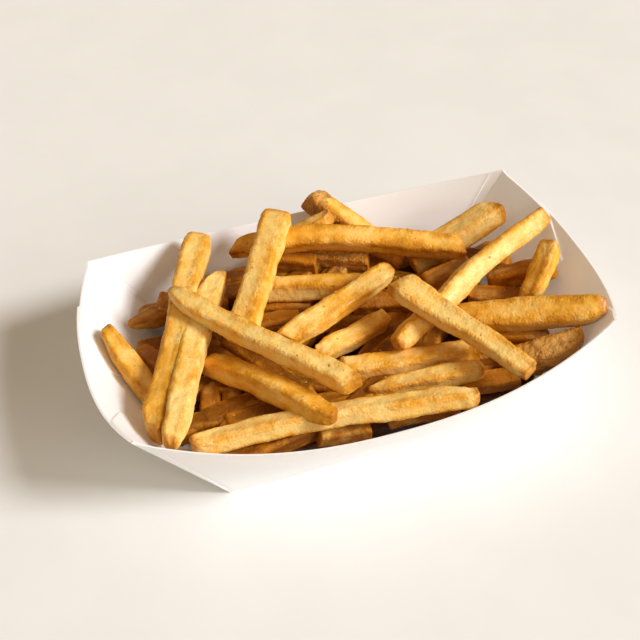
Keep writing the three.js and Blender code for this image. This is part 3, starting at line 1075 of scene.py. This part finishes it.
@dataclass
class FryMaker:
    """Makes fries from one blank for each number of rings. Its distances are in millimetres."""

    end_rings: tuple[float, ...] = (0.0, 0.5, 1.8, 4.5, 9.0)
    plain_end_rings: tuple[float, ...] = (0.0, 1.2, 5.0)
    ring_spacing: float = 7.0
    plain_ring_spacing: float = 16.0
    room_for_ends: float = 27.0
    edge_radius: float = 0.12
    edge_crease: float = 0.15
    sunken: float = 0.98
    fullness: float = 1.05
    squash: float = 0.06
    twist: float = 7.0
    unevenness: float = 0.045
    wander: float = 0.28
    slant_reach: float = 8.0
    cant: float = 0.22
    tip_reach: float = 4.0
    edge_gain: float = 2.9
    corner_from: float = 0.49
    bevel_from: float = 0.3
    on_plane: float = 1e-4
    least_run: float = 1e-5
    drift_memory: float = 0.7
    swell_memory: float = 0.6
    wide_reach: float = 0.4
    height_narrowing: float = 0.8
    tone_jitter: float = 0.12
    tone_limit: float = 1.2
    blanks: dict[int, bpy.types.Mesh] = field(default_factory=dict)

    def ring_places(self, length: float, is_plain: bool) -> list[float]:
        """Return the rings' distances from the start, close together at each end.

        Args:
            length: the fry's length.
            is_plain: whether it is hidden enough to have few rings.

        Returns:
            The distances, with the start and the end among them.
        """
        squeeze = min(1.0, length / self.room_for_ends)
        rings = self.plain_end_rings if is_plain else self.end_rings
        spacing = self.plain_ring_spacing if is_plain else self.ring_spacing
        ends = [place * squeeze for place in rings]
        first, last = ends[-1], length - ends[-1]
        spans = max(1, round((last - first) / spacing))
        inner = [mix(first, last, i / spans) for i in range(1, spans)]
        return [*ends, *inner, *(length - place for place in reversed(ends))]

    def blank(self, rings: int) -> bpy.types.Mesh:
        """Model a straight stick of unit size, or give the one made before.

        Args:
            rings: how many loops of points it has, its two ends among them.

        Returns:
            Its mesh, each point with its ring's number and with a mask of the long edges.
        """
        if rings not in self.blanks:
            bench = Bench.cube(f"blank_{rings}", (1.0, 1.0, 1.0))
            for index in range(1, rings - 1):
                bench.cut((index / (rings - 1) - 0.5, 0.0, 0.0), (1.0, 0.0, 0.0))
            bench.cut(ORIGIN, (0.0, 1.0, 0.0))
            bench.cut(ORIGIN, (0.0, 0.0, 1.0))
            bench.choose_edges(self.is_long_edge)
            bpy.ops.mesh.bevel(offset=self.edge_radius, segments=1, affect="EDGES")
            bench.choose_edges(self.is_bevelled_edge)
            bpy.ops.transform.edge_crease(value=self.edge_crease)
            bench.choose(lambda place: min(abs(place.y), abs(place.z)) < self.on_plane)
            bpy.ops.transform.resize(
                value=(1.0, self.sunken, self.sunken), center_override=ORIGIN
            )
            piece = bench.leave()
            self.blanks[rings] = piece.data
            add_masks(piece.data, edge="FLOAT", ring="INT")
            masks = piece.data.attributes
            for vertex in piece.data.vertices:
                corner = self.edge_gain * min(abs(vertex.co.y), abs(vertex.co.z))
                masks["edge"].data[vertex.index].value = min(1.0, corner)
                masks["ring"].data[vertex.index].value = round((vertex.co.x + 0.5) * (rings - 1))
            bpy.data.objects.remove(piece)
        return self.blanks[rings]

    def runs_outside(self, first: Vector, second: Vector, reach: float) -> bool:
        """Tell whether an edge runs along X farther out than a reach, along both Y and Z."""
        corners = all(min(abs(place.y), abs(place.z)) > reach for place in (first, second))
        return corners and abs(first.x - second.x) > self.least_run

    def is_long_edge(self, first: Vector, second: Vector) -> bool:
        """Tell whether an edge of the blank runs along one of its four long corners."""
        return self.runs_outside(first, second, self.corner_from)

    def is_bevelled_edge(self, first: Vector, second: Vector) -> bool:
        """Tell whether an edge of the bevelled blank runs along a long corner."""
        return self.runs_outside(first, second, self.bevel_from)

    def make(self, fry: Fry, draw: random.Random, is_plain: bool = False) -> bpy.types.Object:
        """Make one fry where it lies.

        Args:
            fry: its place and shape.
            draw: the source of its unevenness.
            is_plain: whether it is hidden enough to have few rings.

        Returns:
            The fry's mesh object.
        """
        places = self.ring_places(fry.length / MM, is_plain)
        piece = bpy.data.objects.new("fry", self.blank(len(places)).copy())
        bpy.context.scene.collection.objects.link(piece)
        make_active(piece)
        bpy.ops.object.mode_set(mode="EDIT")
        bench = Bench(piece)
        bench.choose_all()
        thick = fry.side * self.fullness * MM
        squash = 1 + draw.uniform(-self.squash, self.squash)
        bpy.ops.transform.resize(value=(fry.length, thick * squash, thick / squash))
        bpy.ops.mesh.select_mode(type="VERT")
        drift, swell = (0.0, 0.0), (1.0, 1.0)
        twist = draw.uniform(-self.twist, self.twist)
        cants = [tuple(draw.uniform(-self.cant, self.cant) for _ in range(2)) for _ in range(2)]
        for index, place in enumerate(places):
            drift = tuple(
                self.drift_memory * value + draw.gauss(0.0, self.wander) for value in drift
            )
            swell = tuple(
                mix(1.0, value, self.swell_memory) + draw.gauss(0.0, self.unevenness)
                for value in swell
            )
            share = place / places[-1]
            lean = twist * (2 * share - 1)
            ring = Ring(
                index, len(places), place, share, lean, drift, swell, cants[share > 0.5]
            )
            self.shape_ring(bench, fry, ring)
        bench.leave()
        self.mark(piece, fry, fry.length / 2, draw)
        settle(piece, fry.place())
        return piece

    def shape_ring(self, bench: Bench, fry: Fry, ring: Ring) -> None:
        """Scale, roll and slant one ring of a fry that lies along X, and move it to its place.

        Args:
            bench: the fry in edit mode.
            fry: its shape.
            ring: the ring.
        """
        bench.choose_ring(ring.index)
        tip = fry.tips[0] if ring.share < 0.5 else fry.tips[1]
        scale = tip.scales[ring.from_end] if ring.from_end < len(tip.scales) else 1.0
        bend = 4 * ring.share * (1 - ring.share)
        flare = max(0.0, 1 - ring.share / self.wide_reach)
        widening = 1 + fry.belly * bend + (fry.wide - 1) * flare
        even = ring.index / (ring.count - 1)
        centre = ((even - 0.5) * fry.length, 0.0, 0.0)
        across = scale * widening * ring.swell[0]
        upward = mix(1.0, scale, self.height_narrowing) * fry.flat * ring.swell[1]
        bpy.ops.transform.resize(value=(1.0, across, upward), center_override=centre)
        Bench.turn(math.radians(fry.turn + ring.twist), "X", centre)
        to_end = min(ring.share, 1 - ring.share) * fry.length / MM
        nearness = max(0.0, 1 - to_end / self.slant_reach)
        Bench.turn((tip.slant + ring.cant[0]) * nearness, "Z", centre)
        Bench.turn(ring.cant[1] * nearness, "Y", centre)
        narrowing = tip.lean * (1 - scale) * fry.side / 2
        bpy.ops.transform.translate(
            value=(
                (ring.share - even) * fry.length,
                (fry.bow * bend + ring.drift[0] + narrowing) * MM,
                (fry.arch * bend + ring.drift[1]) * MM,
            )
        )

    def mark(
        self, piece: bpy.types.Object, fry: Fry, half: float, draw: random.Random
    ) -> None:
        """Give a fry its own coordinates and the masks of its tips and its tone.

        Args:
            piece: the fry, still along X.
            fry: its shape.
            half: half its length in metres.
            draw: the source of its offset, so that no two fries share a pattern.
        """
        shift = Vector([draw.uniform(-1.0, 1.0) for _ in range(3)])
        tone = fry.tone + draw.uniform(-self.tone_jitter, self.tone_jitter)
        tone = min(self.tone_limit, max(0.0, tone))
        add_masks(piece.data, grain="FLOAT_VECTOR", tip="FLOAT", tone="FLOAT")
        masks = piece.data.attributes
        for index, vertex in enumerate(piece.data.vertices):
            masks["grain"].data[index].vector = vertex.co + shift
            to_end = (half - abs(vertex.co.x)) / MM
            masks["tip"].data[index].value = min(1.0, max(0.0, 1 - to_end / self.tip_reach))
            masks["tone"].data[index].value = tone


@dataclass
class BuriedFries:
    """The lower layer, strewn by the same rule as the solid's."""

    count: int = 40
    seed: int = 7
    side: float = 6.8
    lengths: tuple[float, float] = (44.0, 72.0)
    spread: tuple[float, float] = (60.0, 40.0)
    reach: Point = (70.0, 47.0, 18.0)
    squareness: int = 4
    swing: float = 70.0
    rise: float = 1.6
    shortest: float = 24.0
    tone: float = 0.8
    multiplier: int = 1664525
    increment: int = 1013904223
    modulus: int = 2**32

    def numbers(self) -> Iterator[float]:
        """Give a repeatable stream of numbers from 0 to 1."""
        state = self.seed
        while True:
            state = (state * self.multiplier + self.increment) % self.modulus
            yield state / self.modulus

    def fries(self) -> Iterator[Fry]:
        """Give the fries of the layer."""
        numbers = self.numbers()

        def between(low: float, high: float) -> float:
            return mix(low, high, next(numbers))

        for index in range(self.count):
            row = mix(-self.spread[1], self.spread[1], (index + 0.5) / self.count)
            middle = (between(-self.spread[0], self.spread[0]), row)
            swing = self.swing * (1 - abs(row) / self.reach[1])
            heading = math.radians(between(-swing, swing))
            rise = between(-self.rise, self.rise)
            length = between(*self.lengths)
            while max(self.reaches(self.end(middle, heading, length, way)) for way in (1, -1)) > 1:
                length -= 1
            if length > self.shortest:
                start, end = (
                    (*self.end(middle, heading, length, way), self.reach[2] + way * rise)
                    for way in (-1, 1)
                )
                yield Fry(start, end, self.side, tone=self.tone, crust=Crust.BURIED)

    @staticmethod
    def end(
        middle: Sequence[float], heading: float, length: float, way: int
    ) -> tuple[float, float]:
        """Return where a fry ends on the plan."""
        reach = way * length / 2
        return middle[0] + math.cos(heading) * reach, middle[1] + math.sin(heading) * reach

    def reaches(self, place: tuple[float, float]) -> float:
        """Return how far a place is out, where 1 is the limit."""
        return sum(
            abs(value / half) ** self.squareness for value, half in zip(place, self.reach)
        )


@dataclass
class FryHeap:
    """All the fries and the core they lie on, in millimetres; a relief is a size and a height."""

    seed: int = 21
    core_size: Point = (118.0, 82.0, 13.0)
    core_lift: float = 1.1
    core_foot: float = 2.0
    core_taper: Point = (0.82, 0.86, 1.0)
    core_cuts: int = 5
    core_levels: int = 2
    core_swell: tuple[float, float] = (12.0, 2.0)
    levels: int = 3
    swell: tuple[float, float] = (9.0, 1.1)
    bumps: tuple[float, float] = (2.6, 0.42)
    grit: tuple[float, float] = (1.1, 0.2)
    wrinkles: tuple[float, float] = (2.2, 1.1)
    maker: FryMaker = field(default_factory=FryMaker)

    def build(self, tray: PaperTray) -> list[bpy.types.Object]:
        """Model the heap.

        Args:
            tray: the tray that holds it.

        Returns:
            One object for each kind of fry.
        """
        draw = random.Random(self.seed)
        kinds: dict[Crust, list[bpy.types.Object]] = {kind: [] for kind in Crust}
        for fry in top_fries():
            kinds[fry.crust].append(self.maker.make(fry, draw))
        for fry in BuriedFries().fries():
            kinds[fry.crust].append(self.maker.make(fry, draw, is_plain=True))
        pieces = [self.finish(kind, fries) for kind, fries in kinds.items()]
        for piece in pieces:
            tray.keep_inside(piece)
        return pieces

    def finish(self, kind: Crust, pieces: Sequence[bpy.types.Object]) -> bpy.types.Object:
        """Join the fries of a kind, round them off and give them an uneven crust.

        Args:
            kind: their kind.
            pieces: the fries.

        Returns:
            The joined object.
        """
        whole = joined(pieces, kind.value)
        levels = {Crust.BURIED: 1, Crust.LOW: 2}.get(kind, self.levels)
        apply_modifier(whole, "SUBSURF", levels=levels, render_levels=levels)
        reliefs = [("swell", self.swell), ("bumps", self.bumps)]
        if levels == self.levels:
            reliefs.append(("grit", self.grit))
        if kind is Crust.SKIN:
            reliefs.append(("wrinkles", self.wrinkles))
        for name, relief in reliefs:
            roughen(whole, f"crust_{name}", *relief)
        make_active(whole)
        bpy.ops.object.shade_smooth()
        return whole

    def build_core(self) -> bpy.types.Object:
        """Model the mound under the fries.

        Returns:
            The mound's mesh object.
        """
        length, width, height = (value * MM for value in self.core_size)
        bench = Bench.cube("heap_core", (length, width, height))
        bpy.ops.transform.translate(value=(0.0, 0.0, height / 2 + self.core_lift * MM))
        bench.choose(lambda place: place.z < self.core_foot * MM)
        bpy.ops.transform.resize(value=self.core_taper, center_override=ORIGIN)
        bench.choose_all()
        bpy.ops.mesh.subdivide(number_cuts=self.core_cuts)
        core = bench.leave()
        apply_modifier(core, "SUBSURF", levels=self.core_levels, render_levels=self.core_levels)
        roughen(core, "core_swell", *self.core_swell)
        make_active(core)
        bpy.ops.object.shade_smooth()
        return core

    @staticmethod
    def dress(pieces: Sequence[bpy.types.Object], crust: bpy.types.NodeTree) -> None:
        """Give each kind its finish and its place in the frame.

        Args:
            pieces: the objects of the heap, named after their kinds.
            crust: the fried crust group.
        """
        finishes = {
            Crust.GOLDEN.value: CrustFinish("golden_crust"),
            Crust.LONG.value: CrustFinish("long_fry_crust"),
            Crust.CRISP.value: CrustFinish("crisp_crust", oiliness=0.4, relief=0.00034),
            # Painted shade: the lower fries' crust is darker than the top fries' golden crust so that
            # the gaps between fries look shaded.
            Crust.LOW.value: CrustFinish(
                "low_crust_painted_shade", pale=(0.92, 0.56, 0.13), gold=(0.34, 0.1, 0.003)
            ),
            Crust.SKIN.value: CrustFinish(
                "potato_skin_crust",
                pale=(0.74, 0.44, 0.14),
                gold=(0.58, 0.27, 0.035),
                browning=0.16,
                blister=1.0,
                oiliness=0.8,
                relief=0.0006,
            ),
            "crumbs": CrustFinish("crumb_crust", pale=(0.95, 0.58, 0.14), gold=(0.5, 0.2, 0.01)),
            # Painted shade: the buried fries are dark brown so that the deep gaps between the fries
            # look dark.
            Crust.BURIED.value: CrustFinish(
                "buried_crust_painted_shade", pale=(0.34, 0.12, 0.008), gold=(0.18, 0.05, 0.002), oiliness=0.05
            ),
            # Painted shade: the core under the fries is nearly black-brown, so that where it shows
            # through gaps it reads as fries in deep shadow.
            "heap_core": CrustFinish(
                "core_painted_shade", pale=(0.12, 0.035, 0.004), gold=(0.08, 0.02, 0.002), oiliness=0.0
            ),
        }
        for piece in pieces:
            piece.data.materials.clear()
            piece.data.materials.append(finishes[piece.name].material(crust))
            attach(piece, "root")
            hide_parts("fries")


@dataclass
class Crumbs:
    """Loose bits of crust on the fries. Sizes are in millimetres."""

    count: int = 110
    seed: int = 5
    sizes: tuple[float, float] = (0.4, 1.0)
    spread: tuple[float, float] = (74.0, 46.0)
    drop_height: float = 60.0
    shapes: int = 4
    roughness: float = 0.16
    flatness: Point = (1.0, 0.8, 0.6)
    steepest: float = 0.45
    tone: float = 0.4
    tip: float = 0.5

    def blank(self, index: int) -> bpy.types.Mesh:
        """Model one crumb of unit size.

        Args:
            index: which of the shapes it is.

        Returns:
            Its mesh.
        """
        bpy.ops.object.select_all(action="DESELECT")
        bpy.ops.mesh.primitive_ico_sphere_add(subdivisions=2, radius=0.5)
        piece = bpy.context.object
        bpy.ops.object.mode_set(mode="EDIT")
        bpy.ops.mesh.select_all(action="SELECT")
        bpy.ops.transform.vertex_random(
            offset=self.roughness, uniform=0.5, normal=0.5, seed=index
        )
        bpy.ops.transform.resize(value=self.flatness)
        bpy.ops.object.mode_set(mode="OBJECT")
        mesh = piece.data
        bpy.data.objects.remove(piece)
        return mesh

    def build(self, heap: Sequence[bpy.types.Object]) -> bpy.types.Object:
        """Strew the crumbs on whatever lies uppermost.

        Args:
            heap: the pieces they fall on.

        Returns:
            The crumbs as one object.
        """
        draw = random.Random(self.seed)
        blanks = [self.blank(index) for index in range(self.shapes)]
        bpy.context.view_layer.update()
        crumbs: list[bpy.types.Object] = []
        while len(crumbs) < self.count:
            angle, reach = draw.uniform(0.0, math.tau), math.sqrt(draw.random())
            above = Vector((
                math.cos(angle) * reach * self.spread[0],
                math.sin(angle) * reach * self.spread[1],
                self.drop_height,
            )) * MM
            hits = [hit[1:3] for hit in (piece.ray_cast(above, -UP) for piece in heap) if hit[0]]
            if not hits:
                continue
            spot, normal = max(hits, key=lambda hit: hit[0].z)
            if normal.z < self.steepest:
                continue
            size = draw.uniform(*self.sizes) * MM
            crumb = bpy.data.objects.new("crumb", draw.choice(blanks).copy())
            bpy.context.scene.collection.objects.link(crumb)
            turned = normal.to_track_quat("Z", "Y").to_matrix().to_4x4()
            spun = Matrix.Rotation(draw.uniform(0.0, math.tau), 4, "Z")
            settle(crumb, Matrix.Translation(spot) @ turned @ spun @ Matrix.Scale(size, 4))
            crumbs.append(crumb)
        whole = joined(crumbs, "crumbs")
        add_masks(whole.data, grain="FLOAT_VECTOR", tone="FLOAT", tip="FLOAT")
        masks = whole.data.attributes
        for index, vertex in enumerate(whole.data.vertices):
            masks["grain"].data[index].vector = vertex.co
            masks["tone"].data[index].value = self.tone
            masks["tip"].data[index].value = self.tip
        return whole


# ----------------------------------------------------------------------------- studio


@dataclass(frozen=True)
class Lamp:
    """A round area light: the azimuth and elevation it shines from, in degrees, and its strength."""

    name: str
    direction: tuple[float, float]
    size: float
    power: float
    colour: Colour


@dataclass
class Studio:
    """The floor, the lights and the camera."""

    azimuth: float = -15.785
    elevation: float = 43.42
    roll: float = -2.575
    distance: float = 405.44
    target: Point = (0.0, 27.88, -0.19)
    focal_pixels: float = 1074.16
    frame_pixels: float = 640.0
    lamps: tuple[Lamp, ...] = (
        Lamp("key", (-31.0, 37.0), 12.7, 16200.0, (0.95, 0.93, 0.94)),
        Lamp("front_fill", (-54.0, 19.0), 20.0, 4900.0, (1.0, 0.98, 0.95)),
    )
    lamp_distance: float = 40.0
    sky: Colour = (0.375, 0.292, 0.203)
    clip: tuple[float, float] = (0.01, 20.0)
    floor_size: float = 6.0

    def place_camera(self) -> None:
        """Create the camera and make it the scene's."""
        turn, tilt = math.radians(self.azimuth), math.radians(self.elevation)
        back = Vector(
            (
                math.sin(turn) * math.cos(tilt),
                -math.cos(turn) * math.cos(tilt),
                math.sin(tilt),
            )
        )
        right = UP.cross(back).normalized()
        upward = back.cross(right)
        roll = math.radians(self.roll)
        rolled_right = right * math.cos(roll) + upward * math.sin(roll)
        rolled_up = upward * math.cos(roll) - right * math.sin(roll)
        data = bpy.data.cameras.new("camera")
        data.sensor_fit = "HORIZONTAL"
        data.angle = 2 * math.atan(self.frame_pixels / 2 / self.focal_pixels)
        data.clip_start, data.clip_end = self.clip
        camera = bpy.data.objects.new("camera", data)
        bpy.context.scene.collection.objects.link(camera)
        turned = Matrix((rolled_right, rolled_up, back)).transposed().to_4x4()
        place = (Vector(self.target) + back * self.distance) * MM
        camera.matrix_world = Matrix.Translation(place) @ turned
        bpy.context.scene.camera = camera

    def place_lights(self) -> None:
        """Create the lamps and a dim warm sky."""
        for lamp in self.lamps:
            turn, tilt = (math.radians(angle) for angle in lamp.direction)
            toward = Vector(
                (math.cos(turn) * math.cos(tilt), math.sin(turn) * math.cos(tilt), math.sin(tilt))
            )
            data = bpy.data.lights.new(lamp.name, "AREA")
            data.shape = "DISK"
            data.size = lamp.size
            data.energy = lamp.power
            data.color = lamp.colour
            light = bpy.data.objects.new(lamp.name, data)
            bpy.context.scene.collection.objects.link(light)
            light.matrix_world = Matrix.Translation(toward * self.lamp_distance) @ (
                toward.to_track_quat("Z", "Y").to_matrix().to_4x4()
            )
        world = bpy.data.worlds.new("sky")
        world.use_nodes = True
        background = world.node_tree.nodes["Background"]
        background.inputs["Color"].default_value = (*self.sky, 1.0)
        background.inputs["Strength"].default_value = 1.0
        bpy.context.scene.world = world

    def lay_floor(self, fibre: bpy.types.NodeTree) -> None:
        """Lay the plain pale surface the tray stands on."""
        bpy.ops.object.select_all(action="DESELECT")
        bpy.ops.mesh.primitive_plane_add(size=self.floor_size)
        floor = bpy.context.object
        floor.name = "floor"
        finish = BoardFinish(
            "pale_surface",
            light=(0.88, 0.89, 0.875),
            dark=(0.86, 0.87, 0.855),
            grain=500.0,
            relief=0.00003,
            glow=0.0,
        )
        floor.data.materials.append(finish.material(fibre))

    def build(self, fibre: bpy.types.NodeTree) -> None:
        """Set up the whole studio.

        Args:
            fibre: the paper fibre group, for the floor.
        """
        self.place_camera()
        self.place_lights()
        self.lay_floor(fibre)
        bpy.context.scene.view_settings.view_transform = "Standard"


def report(pieces: Sequence[bpy.types.Object]) -> None:
    """Log each piece with its number of triangles."""
    for piece in pieces:
        piece.data.calc_loop_triangles()
        LOG.info("%s: %d triangles", piece.name, len(piece.data.loop_triangles))


def main() -> None:
    """Build the tray, the heap and the studio in order."""
    logging.basicConfig(level=logging.INFO, format="%(name)s: %(message)s")
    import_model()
    fibre, crust = paper_fibre_group(), fried_crust_group()

    tray = PaperTray()
    board = tray.build()
    tray.dress(board, fibre)
    report([board])

    heap = FryHeap()
    pieces = [*heap.build(tray), heap.build_core()]
    pieces.append(Crumbs().build(pieces))
    heap.dress(pieces, crust)
    report(pieces)

    Studio().build(fibre)


if __name__ == "__main__":
    main()
